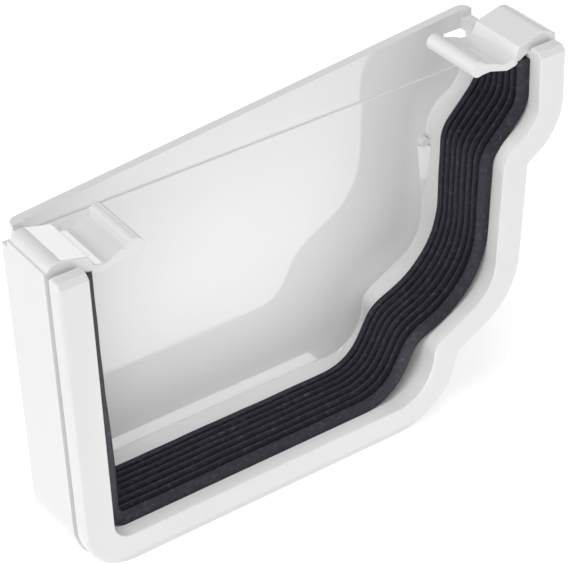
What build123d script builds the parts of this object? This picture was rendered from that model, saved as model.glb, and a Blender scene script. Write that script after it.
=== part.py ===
from build123d import *
import os

os.makedirs("parts", exist_ok=True)

# Right-hand external stop end for a 110 mm ogee gutter.
# X runs across the gutter, from the flat back wall (-X) to the ogee front (+X).
# Y is the depth: the open mouth faces -Y and the end wall closes the +Y side.
# Z is up, the flat bottom stands on Z = 0. All sizes in millimetres.

# ---------------------------------------------------------------- dimensions
DEPTH = 28.7             # mouth plane to outside of the end wall
LIP_DEPTH = 3.6          # thickness of the flange round the mouth
GROOVE_END = 4.4         # shallow groove between flange and seal housing
HOUSING_END = 21.5       # rear of the wider part that houses the seal
RECESS_END = 19.2        # rear of the seal recess
WALL_Y = 26.0            # inner face of the end wall
WALL = 2.7               # wall thickness of the rear part

HALF = 56.0              # half of the clear width between the flange's inner edges
FLOOR_Z = 7.5            # inner surface of the gutter floor at the flange
FLANGE = 7.0             # width of the flange's front face
GROOVE_OUT = 6.5         # outline offset at the bottom of the groove
HOUSING_OUT = 7.5        # outline offset of the seal housing
RECESS = 4.5             # depth of the seal recess behind the opening's outline
PROUD = 2.9              # how far the seal stands proud into the opening
SEAL_BEVEL = 1.4         # bevel on the mouth side of the seal
SEAT_Y = 8.2             # up to this depth the seal lies on the wall, behind it in its recess

LIP_TOP_L = 76.0         # top of the flange at the back wall
LIP_TOP_R = 85.5         # top of the flange at the front wall
LIP_CHAMFER = 1.2        # chamfer on the front of the flange's two tops
LIP_ROUND = 0.8          # rounding of the flange's outer front edge
EDGE = 0.3               # small moulded rounding of inner edges
BACK_TOP = 74.7          # top of the end wall at the back ...
FRONT_TOP = 85.2         # ... and at the front: the edge rises towards the front
LEDGE_Z = 71.8           # level of the ledge across the end wall
LEDGE = 0.5              # how far the end wall steps back above the ledge
CORNER = 0.5             # rounding of the inner corner round the end wall
REAR_ROUND = 2.0         # rounding of the outer edge round the end wall

CLIP_TOP_L = 79.3        # highest point of the back clip's plate line
CLIP_TOP_R = 88.9        # the same for the front clip
CLIP_Y0 = 4.4            # clips run from just behind the flange ...
CLIP_Y1 = 19.0           # ... to the rear of the seal recess
BEAD_Y1 = 20.2           # the bead is a little longer than its clip
BEAD_R = 1.9             # retaining bead at the free end of each clip

FRONT_SHIFT = 1.0        # draft: the rear part of the ogee lies this much further in
HIGH = 130.0             # height of the outline before the tops are trimmed

Y0 = -DEPTH / 2          # mouth plane


def at(y):
    # sketch plane facing the mouth, y mm behind the mouth plane
    return Plane.XZ.offset(-(Y0 + y))


# ------------------------------------------------- outline of the opening
# corner points and radii: back wall, floor, ogee front, upper front wall
PTS = [(-HALF, HIGH), (-HALF, FLOOR_Z), (26.6, FLOOR_Z), (28.3, 20.6), (44.6, 29.3),
       (46.9, 63.4), (HALF, 68.5), (HALF, HIGH)]
RADII = [0, 4.2, 10.1, 4.6, 11.9, 8.2, 7.6, 0]


with BuildSketch(Plane.XZ) as opening:
    with BuildLine():
        Polyline(*PTS, close=True)
    make_face()
    for (x, z), r in zip(PTS, RADII):
        if r:
            fillet(opening.vertices().sort_by_distance((x, z, 0))[0], r)

# path of the rubber strip: it can't follow the tight inside bends, so it
# takes them in wide curves and stands clear of the wall there
PTS_S = [(-HALF, HIGH), (-HALF, FLOOR_Z), (18.4, FLOOR_Z), (25.6, 20.6), (44.9, 28.7),
         (46.2, 61.5), (HALF, 71.5), (HALF, HIGH)]
RADII_S = [0, 5.5, 13.6, 6.0, 23.7, 6.0, 9.0, 0]
with BuildSketch(Plane.XZ) as seal_opening:
    with BuildLine():
        Polyline(*PTS_S, close=True)
    make_face()
    for (x, z), r in zip(PTS_S, RADII_S):
        if r:
            fillet(seal_opening.vertices().sort_by_distance((x, z, 0))[0], r)

# the same outline for the rear part, drawn in a little at the ogee
PTS_R = [(x - FRONT_SHIFT if x > 0 else x, z) for x, z in PTS]
with BuildSketch(Plane.XZ) as rear_opening:
    with BuildLine():
        Polyline(*PTS_R, close=True)
    make_face()
    for (x, z), r in zip(PTS_R, RADII):
        if r:
            fillet(rear_opening.vertices().sort_by_distance((x, z, 0))[0], r)


def grown(face, amount):
    # outline at a constant distance from the opening
    with BuildSketch(Plane.XZ) as g:
        add(face)
        offset(amount=amount, kind=Kind.INTERSECTION)
    return g.sketch


OPEN = opening.sketch
REAR = rear_opening.sketch
SEAT = seal_opening.sketch
LIP = grown(OPEN, FLANGE)
NECK = grown(OPEN, GROOVE_OUT)
HOUSING = grown(OPEN, HOUSING_OUT)
POCKET = grown(OPEN, RECESS)
SHELL = grown(REAR, WALL)
BORE = grown(SEAT, -PROUD)


def ring_sketch(outer, inner, top_left, top_right):
    # ring between two outlines, both legs trimmed to their heights
    with BuildSketch(Plane.XZ) as s:
        add(outer)
        add(inner, mode=Mode.SUBTRACT)
        with Locations((-60, top_left + 100)):
            Rectangle(120, 200, mode=Mode.SUBTRACT)
        with Locations((60, top_right + 100)):
            Rectangle(120, 200, mode=Mode.SUBTRACT)
    return s.sketch


def band(y_from, y_to, outer, inner, top_left, top_right):
    with BuildPart() as b:
        with BuildSketch(at(y_from)):
            add(ring_sketch(outer, inner, top_left, top_right))
        extrude(amount=-(y_to - y_from))
    return b.part


def on_y(edges, y):
    # edges that lie wholly in the plane y mm behind the mouth
    return edges.filter_by(lambda e: all(abs(e.position_at(t).Y - (Y0 + y)) < 1e-4 for t in (0, 0.5, 1)))


# ------------------------------------------------------------------ flange
with BuildPart() as lip:
    with BuildSketch(at(0)):
        add(ring_sketch(LIP, OPEN, LIP_TOP_L, LIP_TOP_R))
    extrude(amount=-LIP_DEPTH)
    front = on_y(lip.edges(), 0)
    tops = front.filter_by(lambda e: e.length < FLANGE + 0.1 and
                           (abs(e.center().Z - LIP_TOP_L) < 0.01 or abs(e.center().Z - LIP_TOP_R) < 0.01))
    chamfer(tops, LIP_CHAMFER)
    # both edges of the chamfers are softened a little
    crests = lip.edges().filter_by(Axis.X).filter_by(
        lambda e: any(abs(e.center().Z - z) < 0.01 and abs(e.center().Y - (Y0 + y)) < 0.01
                      for t in (LIP_TOP_L, LIP_TOP_R) for z, y in ((t, LIP_CHAMFER), (t - LIP_CHAMFER, 0))))
    print("crest edges", len(crests))
    fillet(crests, EDGE)
    # outer front edge of the flange: every front edge further out than its middle line
    MID = grown(OPEN, FLANGE / 2)
    rim_edges = on_y(lip.edges(), 0).filter_by(
        lambda e: e.length > FLANGE + 0.1 or abs(e.center().Z - (LIP_TOP_L - LIP_CHAMFER)) > 0.01
        and abs(e.center().Z - (LIP_TOP_R - LIP_CHAMFER)) > 0.01)
    outer_edges = rim_edges.filter_by(
        lambda e: not MID.faces()[0].is_inside(Vector(e.position_at(0.5).X, 0, e.position_at(0.5).Z)))
    inner_edges = rim_edges.filter_by(
        lambda e: MID.faces()[0].is_inside(Vector(e.position_at(0.5).X, 0, e.position_at(0.5).Z)))
    print("flange edges", len(tops), len(outer_edges), len(inner_edges))
    fillet(outer_edges, LIP_ROUND)
    fillet(inner_edges, EDGE)

# --------------------------------------------- neck, seal housing and step
neck = band(LIP_DEPTH, GROOVE_END, NECK, OPEN, 75.0, 84.5)
seat = band(GROOVE_END, SEAT_Y, HOUSING, OPEN, 76.8, 86.3)
housing = band(SEAT_Y, RECESS_END, HOUSING, POCKET, 76.8, 86.3)
step = band(RECESS_END, HOUSING_END, HOUSING, REAR, 75.2, 84.7)

# ------------------------------------------------------- rear cup and end wall
# the space inside, its far edge rounded
with BuildPart() as space:
    with BuildSketch(at(HOUSING_END - 3)):
        add(REAR)
    extrude(amount=-(WALL_Y - HOUSING_END + 3))
    fillet(on_y(space.edges(), WALL_Y), CORNER)

with BuildPart() as cup:
    with BuildSketch(at(HOUSING_END - 1)):
        add(SHELL)
    extrude(amount=-(DEPTH - HOUSING_END + 1))
    fillet(on_y(cup.edges(), DEPTH), REAR_ROUND)
    add(space.part, mode=Mode.SUBTRACT)
    # the end wall steps back above the ledge
    with BuildSketch(at(WALL_Y - 1)):
        add(REAR)
        with Locations((0, LEDGE_Z - 100)):
            Rectangle(200, 200, mode=Mode.SUBTRACT)
    extrude(amount=-(LEDGE + 1), mode=Mode.SUBTRACT)
    # the top edge of the end wall rises from the back to the front
    with BuildSketch(at(WALL_Y - 0.02)):
        with BuildLine():
            Polyline((-75, BACK_TOP - 1.6), (54.8, FRONT_TOP), (80, FRONT_TOP), (80, 200), (-75, 200), close=True)
        make_face()
    extrude(amount=-10, mode=Mode.SUBTRACT)
    # the side walls in front of it end lower
    with BuildSketch(at(HOUSING_END - 5)):
        with Locations((-60, 73.5 + 100)):
            Rectangle(120, 200)
        with Locations((60, 83.5 + 100)):
            Rectangle(120, 200)
    extrude(amount=-(WALL_Y - HOUSING_END + 5), mode=Mode.SUBTRACT)


# clip section: u is measured outwards from the centre, w down from the plate's corner
def clip_points(side, top):
    pts = [(63.5, -9.0), (63.5, 0.0), (53.5, -2.6), (52.4, -4.9), (50.4, -5.4), (49.3, -5.3),
           (47.3, -4.35), (45.2, -3.75), (43.4, -2.75), (42.7, -4.4), (43.2, -6.1), (45.8, -6.0),
           (50.4, -7.4), (52.8, -7.0), (55.2, -5.3), (57.5, -4.8), (60.5, -4.4), (60.5, -9.0)]
    return [(side * u, top + w) for u, w in pts]


def clip(side, top):
    with BuildPart() as c:
        with BuildSketch(at(CLIP_Y0)) as s:
            with BuildLine():
                Polyline(*clip_points(side, top), close=True)
            make_face()
            for u, w, r in ((63.5, 0.0, 3.3), (53.5, -2.6, 0.35), (52.4, -4.9, 0.7), (47.3, -4.35, 0.5),
                            (50.4, -7.4, 1.2), (52.8, -7.0, 1.4), (55.2, -5.3, 1.2)):
                fillet(s.vertices().sort_by_distance((side * u, top + w, 0))[0], r)
        extrude(amount=-(CLIP_Y1 - CLIP_Y0))
        with BuildSketch(at(CLIP_Y0)):
            with Locations((side * 42.7, top - 4.4)):
                Circle(BEAD_R)
        extrude(amount=-(BEAD_Y1 - CLIP_Y0))
        # small rounding round the front end of the clip
        fillet(on_y(c.edges(), CLIP_Y0).filter_by(lambda e: e.center().Z > top - 7.9), EDGE)
    return c.part


clip_back = clip(-1, CLIP_TOP_L)
clip_front = clip(1, CLIP_TOP_R)

with BuildPart() as body:
    add(lip.part)
    add(neck)
    add(seat)
    add(housing)
    add(step)
    add(cup.part)
    add(clip_back)
    add(clip_front)
    # openings left by the mould cores behind the two clips, the front one cut through the corner
    with BuildSketch(at(WALL_Y - 1.5)):
        with Locations((54.6, 77.6)):
            Rectangle(8.4, 6.4)
    extrude(amount=-6, mode=Mode.SUBTRACT)
    with BuildSketch(at(WALL_Y - 1.1)):
        with Locations((-51.6, 66.9)):
            Rectangle(7.0, 7.0)
    extrude(amount=-6, mode=Mode.SUBTRACT)
    # small round boss in the inner corner and the slanted gusset below it, which tapers to nothing
    with BuildSketch(at(WALL_Y - 1.2)):
        with Locations((44.2, 55.9)):
            Circle(1.15)
    extrude(amount=-1.6)
    for z, pts in ((55.0, [(42.7, 26.05), (45.2, 24.0), (46.2, 24.0), (46.2, 27.2), (42.7, 27.2)]),
                   (36.3, [(44.3, 26.05), (44.5, 25.85), (46.2, 25.85), (46.2, 27.2), (44.3, 27.2)])):
        with BuildSketch(Plane.XY.offset(z)):
            with BuildLine():
                Polyline(*[(x, Y0 + y) for x, y in pts], close=True)
            make_face()
    loft()

# ------------------------------------------------------------- rubber seal
with BuildSketch(Plane.XZ) as front_outline:
    add(SEAT)
    add(OPEN, mode=Mode.INTERSECT)


def seal_ring(y_from, y_to, outer):
    with BuildPart() as r:
        with BuildSketch(at(y_from)):
            add(ring_sketch(outer, BORE, 73.2, 82.8))
            # its inner part ends lower, under the clips
            with Locations((-47.25, 71.7 + 10)):
                Rectangle(14.5, 20, mode=Mode.SUBTRACT)
            with Locations((47.25, 81.3 + 10)):
                Rectangle(14.5, 20, mode=Mode.SUBTRACT)
        extrude(amount=-(y_to - y_from))
    return r.part


with BuildPart() as seal:
    add(seal_ring(LIP_DEPTH, SEAT_Y, front_outline.sketch))
    # its mouth side slopes back into the opening
    inside = grown(SEAT, -PROUD / 2).faces()[0]
    inner_front = on_y(seal.edges(), LIP_DEPTH).filter_by(
        lambda e: inside.is_inside(Vector(e.position_at(0.5).X, 0, e.position_at(0.5).Z))
        and not (e.length < 3.7 and (e.center().Z > 80 or e.center().Z > 71 and e.center().X < 0)))
    print("seal edges", len(inner_front))
    chamfer(inner_front, SEAL_BEVEL)
    add(seal_ring(SEAT_Y, RECESS_END, POCKET))

body.part.label = "stop_end_body"
seal.part.label = "rubber_seal"
export_step(body.part, "parts/stop_end_body.step")
export_step(seal.part, "parts/rubber_seal.step")

for p in (body.part, seal.part):
    bb = p.bounding_box()
    print(p.label, len(p.solids()), round(p.volume), p.is_valid, bb.min, bb.max)
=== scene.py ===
import math

import bmesh
import bpy
import numpy as np
from mathutils import Matrix, Vector


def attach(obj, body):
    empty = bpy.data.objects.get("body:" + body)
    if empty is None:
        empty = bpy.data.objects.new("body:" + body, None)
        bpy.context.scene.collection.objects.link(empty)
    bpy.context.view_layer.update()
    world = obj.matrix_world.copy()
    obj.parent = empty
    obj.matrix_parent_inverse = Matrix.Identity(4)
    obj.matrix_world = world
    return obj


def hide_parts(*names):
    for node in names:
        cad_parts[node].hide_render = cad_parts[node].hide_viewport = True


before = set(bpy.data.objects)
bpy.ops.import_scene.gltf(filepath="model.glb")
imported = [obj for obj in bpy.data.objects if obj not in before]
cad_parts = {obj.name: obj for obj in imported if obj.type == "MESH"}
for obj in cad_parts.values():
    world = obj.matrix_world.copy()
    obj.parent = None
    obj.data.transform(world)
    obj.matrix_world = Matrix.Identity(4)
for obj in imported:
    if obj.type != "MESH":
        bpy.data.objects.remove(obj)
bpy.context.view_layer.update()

scene = bpy.context.scene
MM = 0.001

# light levels
SKY = {"base": 0.19, "left": 1.62, "right": 0.0, "front": 0.485, "rear": 0.60, "up": 0.05}
CARD_FRONT, CARD_REAR, CARD_TOP = 1.2, 2.7, 6.5
CARD_CORNER = 3.0
FILL_MOUTH, KEY = 0.48, 9.5
FLOOR_GLOW = 0.63

# ------------------------------------------------------------------ camera
# 569 x 564 picture, 2226 px focal length, seen from the back-wall side
AZ, EL, ROLL = math.radians(-33.08), math.radians(35.24), math.radians(-2.35)
FOCAL_PX, WIDE = 2226.0, 569.0
back = Vector((math.sin(AZ) * math.cos(EL), -math.cos(AZ) * math.cos(EL), math.sin(EL)))
right = Vector((0, 0, 1)).cross(back).normalized()
up = back.cross(right)
c, s = math.cos(ROLL), math.sin(ROLL)
right, up = c * right + s * up, c * up - s * right
CAM = Vector((-0.21612, -0.32872, 0.32036))

cam_data = bpy.data.cameras.new("camera")
cam = bpy.data.objects.new("camera", cam_data)
scene.collection.objects.link(cam)
cam_data.sensor_fit = "HORIZONTAL"
cam_data.sensor_width = 36.0
cam_data.lens = FOCAL_PX * 36.0 / WIDE
cam_data.clip_start = 0.01
cam_data.clip_end = 20.0
m = Matrix((right, up, back)).transposed().to_4x4()
m.translation = CAM
cam.matrix_world = m
scene.camera = cam


# --------------------------------------------------------------- materials
def new_material(name):
    mat = bpy.data.materials.new(name)
    mat.use_nodes = True
    nt = mat.node_tree
    nt.nodes.clear()
    out = nt.nodes.new("ShaderNodeOutputMaterial")
    bsdf = nt.nodes.new("ShaderNodeBsdfPrincipled")
    nt.links.new(bsdf.outputs[0], out.inputs[0])
    return mat, nt, bsdf


def noise(nt, coord, scale, detail=2.0, rough=0.5):
    n = nt.nodes.new("ShaderNodeTexNoise")
    n.inputs["Scale"].default_value = scale
    n.inputs["Detail"].default_value = detail
    n.inputs["Roughness"].default_value = rough
    nt.links.new(coord, n.inputs["Vector"])
    return n.outputs["Fac"]


def ramp(nt, fac, stops):
    r = nt.nodes.new("ShaderNodeValToRGB")
    el = r.color_ramp.elements
    while len(el) < len(stops):
        el.new(0.5)
    for e, (p, col) in zip(el, stops):
        e.position = p
        e.color = (*col, 1.0) if len(col) == 3 else col
    nt.links.new(fac, r.inputs["Fac"])
    return r.outputs["Color"]


def span(nt, fac, a, b):
    r = nt.nodes.new("ShaderNodeMapRange")
    r.inputs["To Min"].default_value = a
    r.inputs["To Max"].default_value = b
    nt.links.new(fac, r.inputs["Value"])
    return r.outputs["Result"]


def pvc():
    mat, nt, bsdf = new_material("white_pvc_gloss")
    coord = nt.nodes.new("ShaderNodeTexCoord").outputs["Object"]
    cloud = noise(nt, coord, 38.0, 3.0)
    nt.links.new(ramp(nt, cloud, [(0.3, (0.71, 0.712, 0.715)), (0.7, (0.73, 0.731, 0.733))]),
                 bsdf.inputs["Base Color"])
    nt.links.new(span(nt, noise(nt, coord, 160.0, 4.0), 0.03, 0.06), bsdf.inputs["Roughness"])
    bsdf.inputs["IOR"].default_value = 1.54
    wave = nt.nodes.new("ShaderNodeBump")
    wave.inputs["Strength"].default_value = 0.05
    wave.inputs["Distance"].default_value = 0.0004
    nt.links.new(noise(nt, coord, 55.0, 1.0), wave.inputs["Height"])
    fine = nt.nodes.new("ShaderNodeBump")
    fine.inputs["Strength"].default_value = 0.06
    fine.inputs["Distance"].default_value = 0.00004
    nt.links.new(noise(nt, coord, 1400.0, 2.0), fine.inputs["Height"])
    nt.links.new(wave.outputs["Normal"], fine.inputs["Normal"])
    nt.links.new(fine.outputs["Normal"], bsdf.inputs["Normal"])
    return mat


def rubber():
    mat, nt, bsdf = new_material("black_rubber_matt")
    coord = nt.nodes.new("ShaderNodeTexCoord").outputs["Object"]
    dust = noise(nt, coord, 900.0, 6.0, 0.7)
    nt.links.new(ramp(nt, dust, [(0.35, (0.018, 0.016, 0.024)), (0.58, (0.028, 0.026, 0.036)),
                                 (0.70, (0.075, 0.072, 0.088)), (0.78, (0.17, 0.17, 0.185))]),
                 bsdf.inputs["Base Color"])
    nt.links.new(span(nt, noise(nt, coord, 120.0, 3.0), 0.38, 0.58), bsdf.inputs["Roughness"])
    bsdf.inputs["IOR"].default_value = 1.45
    bsdf.inputs["Specular IOR Level"].default_value = 0.2
    bump = nt.nodes.new("ShaderNodeBump")
    bump.inputs["Strength"].default_value = 0.45
    bump.inputs["Distance"].default_value = 0.00010
    nt.links.new(noise(nt, coord, 1500.0, 4.0, 0.65), bump.inputs["Height"])
    nt.links.new(bump.outputs["Normal"], bsdf.inputs["Normal"])
    return mat


PVC, RUBBER = pvc(), rubber()


# -------------------------------------------------------------- mesh tools
def make_object(name, verts, faces, mat, sharp_deg=38.0):
    me = bpy.data.meshes.new(name)
    me.from_pydata([tuple(v) for v in verts], [], faces)
    ob = bpy.data.objects.new(name, me)
    scene.collection.objects.link(ob)
    bm = bmesh.new()
    bm.from_mesh(me)
    bmesh.ops.recalc_face_normals(bm, faces=bm.faces)
    lim = math.radians(sharp_deg)
    for f in bm.faces:
        f.smooth = True
    for e in bm.edges:
        e.smooth = not (len(e.link_faces) == 2 and e.calc_face_angle(0.0) > lim)
    bm.to_mesh(me)
    bm.free()
    me.materials.append(mat)
    return ob


# path of the rubber strip, the same corners and radii as the construction (mm)
PTS = [(-56, 130), (-56, 7.5), (18.4, 7.5), (25.6, 20.6), (44.9, 28.7), (46.2, 61.5), (56, 71.5), (56, 130)]
RADII = [0, 5.5, 13.6, 6.0, 23.7, 6.0, 9.0, 0]
Y0 = -14.35


def outline(top_left, top_right, step_deg=6.0, step_mm=4.0):
    """points and inward normals along the opening's outline, from one top to the other"""
    p = [np.array(q, float) for q in PTS]
    p[0] = np.array([p[0][0], top_left])
    p[-1] = np.array([p[-1][0], top_right])
    out = []

    def straight(a, b):
        n = max(1, int(np.linalg.norm(b - a) / step_mm))
        d = (b - a) / np.linalg.norm(b - a)
        for i in range(n + 1):
            out.append((a + (b - a) * i / n, np.array([-d[1], d[0]])))

    cur = p[0]
    for i in range(1, len(p) - 1):
        r = RADII[i]
        d0 = (p[i] - p[i - 1]) / np.linalg.norm(p[i] - p[i - 1])
        d1 = (p[i + 1] - p[i]) / np.linalg.norm(p[i + 1] - p[i])
        cross = d0[0] * d1[1] - d0[1] * d1[0]
        turn = math.atan2(cross, float(np.dot(d0, d1)))
        t = r * math.tan(abs(turn) / 2)
        a, b = p[i] - d0 * t, p[i] + d1 * t
        straight(cur, a)
        sgn = 1.0 if turn > 0 else -1.0
        n0 = np.array([-d0[1], d0[0]])
        centre = a + n0 * r * sgn
        k = max(2, int(abs(math.degrees(turn)) / step_deg))
        for j in range(1, k):
            ang = turn * j / k
            ca, sa = math.cos(ang), math.sin(ang)
            n = np.array([n0[0] * ca - n0[1] * sa, n0[0] * sa + n0[1] * ca])
            out.append((centre - n * r * sgn, n))
        cur = b
    straight(cur, p[-1])
    # drop doubled points
    keep = [out[0]]
    for q in out[1:]:
        if np.linalg.norm(q[0] - keep[-1][0]) > 1e-4:
            keep.append(q)
    return keep


def sweep(name, path, profile, mat, sharp_deg=38.0):
    """closed profile of (y behind the mouth, height into the opening) swept along the outline"""
    verts, faces = [], []
    n = len(profile)
    for q, nrm in path:
        for y, h in profile:
            verts.append(((q[0] + nrm[0] * h) * MM, (Y0 + y) * MM, (q[1] + nrm[1] * h) * MM))
    for i in range(len(path) - 1):
        for j in range(n):
            k = (j + 1) % n
            faces.append((i * n + j, i * n + k, (i + 1) * n + k, (i + 1) * n + j))
    faces.append(tuple(range(n)))
    faces.append(tuple((len(path) - 1) * n + j for j in range(n - 1, -1, -1)))
    return make_object(name, verts, faces, mat, sharp_deg)


# ------------------------------------------------------------- rubber seal
def seal_profile():
    """smooth band with a bevelled mouth side, six ribs and a flat rear edge, in mm;
    in front of y = 8.2 the strip lies on the wall, behind it in its recess"""
    prof = [(8.2, -4.0), (8.2, -0.12), (3.62, -0.12), (3.62, 1.15), (3.66, 1.45), (3.78, 1.80), (4.02, 2.35),
            (4.20, 2.70), (4.36, 2.86), (4.52, 2.90), (4.66, 2.84), (4.76, 2.60), (4.84, 2.00), (4.95, 1.20),
            (5.10, 0.75), (5.75, 0.65)]
    for y in (6.98, 9.08, 11.15, 13.02, 14.85, 16.70):
        prof += [(y - 0.72, 0.65), (y - 0.62, 0.95), (y - 0.52, 1.32), (y - 0.28, 1.80), (y - 0.08, 2.16),
                 (y + 0.03, 2.28), (y + 0.14, 2.32), (y + 0.27, 2.30), (y + 0.37, 2.15), (y + 0.44, 1.80),
                 (y + 0.55, 1.20), (y + 0.72, 0.65)]
    prof += [(17.66, 0.65), (17.74, 1.15), (17.86, 1.80), (17.98, 2.16), (18.15, 2.28), (19.02, 2.32),
             (19.15, 2.24), (19.2, 2.05), (19.2, -4.0)]
    return prof


def seal_path():
    """the strip bulges a little from the back wall towards the lower bend, and its ribs aren't dead straight"""
    path = []
    along = 0.0
    last = None
    for q, nrm in outline(73.3, 82.9, 4.0, 1.5):
        along += 0.0 if last is None else float(np.linalg.norm(q - last))
        last = q
        bulge = 0.0
        if q[0] < -50.4:
            bulge = float(np.interp(q[1], [7.5, 9.0, 12.0, 20.0, 31.0, 40.0, 68.0], [0.0, 0.3, 0.6, 0.9, 0.7, 0.35, 0.0]))
        wavy = 0.05 * math.sin(along * 0.21) + 0.03 * math.sin(along * 0.53 + 1.0)
        path.append((q + nrm * (bulge + wavy), nrm))
    return path


seal = sweep("seal_ribbed", seal_path(), seal_profile(), RUBBER)
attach(seal, "root")
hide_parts("rubber_seal")

# --------------------------------------------------------------- moulding
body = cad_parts["stop_end_body"]
body.data.materials.clear()
body.data.materials.append(PVC)

# ------------------------------------------------------- floor and lights
me = bpy.data.meshes.new("floor")
me.from_pydata([(-6, -6, 0), (6, -6, 0), (6, 6, 0), (-6, 6, 0)], [], [(0, 1, 2, 3)])
floor = bpy.data.objects.new("floor", me)
scene.collection.objects.link(floor)
mat, nt, bsdf = new_material("floor_white")
coord = nt.nodes.new("ShaderNodeTexCoord").outputs["Object"]
nt.links.new(ramp(nt, noise(nt, coord, 8.0), [(0.3, (0.50, 0.50, 0.50)), (0.7, (0.52, 0.52, 0.52))]),
             bsdf.inputs["Base Color"])
bsdf.inputs["Roughness"].default_value = 0.9
bsdf.inputs["Emission Color"].default_value = (1, 1, 1, 1)
bsdf.inputs["Emission Strength"].default_value = FLOOR_GLOW
me.materials.append(mat)

world = bpy.data.worlds.new("studio")
scene.world = world
world.use_nodes = True
wt = world.node_tree
wt.nodes.clear()
wout = wt.nodes.new("ShaderNodeOutputWorld")
bg = wt.nodes.new("ShaderNodeBackground")
wt.links.new(bg.outputs[0], wout.inputs[0])
sep = wt.nodes.new("ShaderNodeSeparateXYZ")
wt.links.new(wt.nodes.new("ShaderNodeTexCoord").outputs["Generated"], sep.inputs[0])


def wmath(op, a, b=None):
    n = wt.nodes.new("ShaderNodeMath")
    n.operation = op
    for i, v in enumerate((a, b)):
        if v is None:
            continue
        if isinstance(v, (int, float)):
            n.inputs[i].default_value = v
        else:
            wt.links.new(v, n.inputs[i])
    return n.outputs[0]


# soft white studio, a little brighter from some sides than from others
def side(axis, sign, power):
    d = wmath("MAXIMUM", wmath("MULTIPLY", sep.outputs[axis], sign), 0.0)
    return wmath("POWER", d, power)


low = wmath("POWER", wmath("SUBTRACT", 1.0, wmath("ABSOLUTE", sep.outputs["Z"])), 2.0)
lobes = {"left": side("X", -1.0, 1.5), "right": side("X", 1.0, 1.5), "front": side("Y", -1.0, 1.5),
         "rear": wmath("MULTIPLY", side("Y", 1.0, 1.0), low), "up": side("Z", 1.0, 2.0)}
level = wmath("ADD", SKY["base"], 0.0)
level.node.name = "sky_base"
for key, lobe in lobes.items():
    part = wmath("MULTIPLY", lobe, SKY[key])
    part.node.name = "sky_" + key
    level = wmath("ADD", level, part)
wt.links.new(level, bg.inputs["Strength"])
bg.inputs["Color"].default_value = (1.0, 1.0, 1.0, 1)


def softbox(name, place, target, size, radiance, size_y=None, gloss_only=False, matt_only=False):
    """rectangular light of a given radiance"""
    size_y = size_y or size
    ld = bpy.data.lights.new(name, "AREA")
    ld.shape = "RECTANGLE"
    ld.size, ld.size_y = size, size_y
    ld.energy = radiance * math.pi * size * size_y
    ob = bpy.data.objects.new(name, ld)
    scene.collection.objects.link(ob)
    ob.location = place
    ob.rotation_euler = (Vector(target) - Vector(place)).to_track_quat("-Z", "Y").to_euler()
    ob.visible_camera = False
    if gloss_only:
        ob.visible_diffuse = False
    if matt_only:
        ob.visible_glossy = False
    return ob


# overhead key and a soft fill into the cup from its mouth
softbox("key", (0.0, -0.30, 1.50), (0, 0, 0.04), 0.5, KEY)
softbox("fill_mouth", (-0.014, -0.0160, 0.037), (-0.014, 1.0, 0.037), 0.080, FILL_MOUTH, 0.050, matt_only=True)
# cards that only show as reflections: on the floor in front of the mouth, low behind, above,
# and a narrow one along the foot of the end wall
softbox("card_front", (0.06, -0.1025, 0.0015), (0.06, -0.1025, 1.0), 0.36, CARD_FRONT, 0.175, gloss_only=True)
softbox("card_rear", (0.82, 1.12, 0.54), (-0.058, -0.003, 0.078), 0.26, CARD_REAR, 0.22, gloss_only=True)
softbox("card_top", (0.67, 0.15, 1.33), (0, 0, 0.05), 0.35, CARD_TOP, 0.35, gloss_only=True)
softbox("card_corner", (-0.0209, 0.0097, 0.00765), (-0.0209, 0.0097, 1.0), 0.0698, CARD_CORNER, 0.0039, gloss_only=True)

scene.view_settings.view_transform = "Standard"
scene.view_settings.look = "None"
scene.view_settings.exposure = 0.0

bpy.context.view_layer.update()
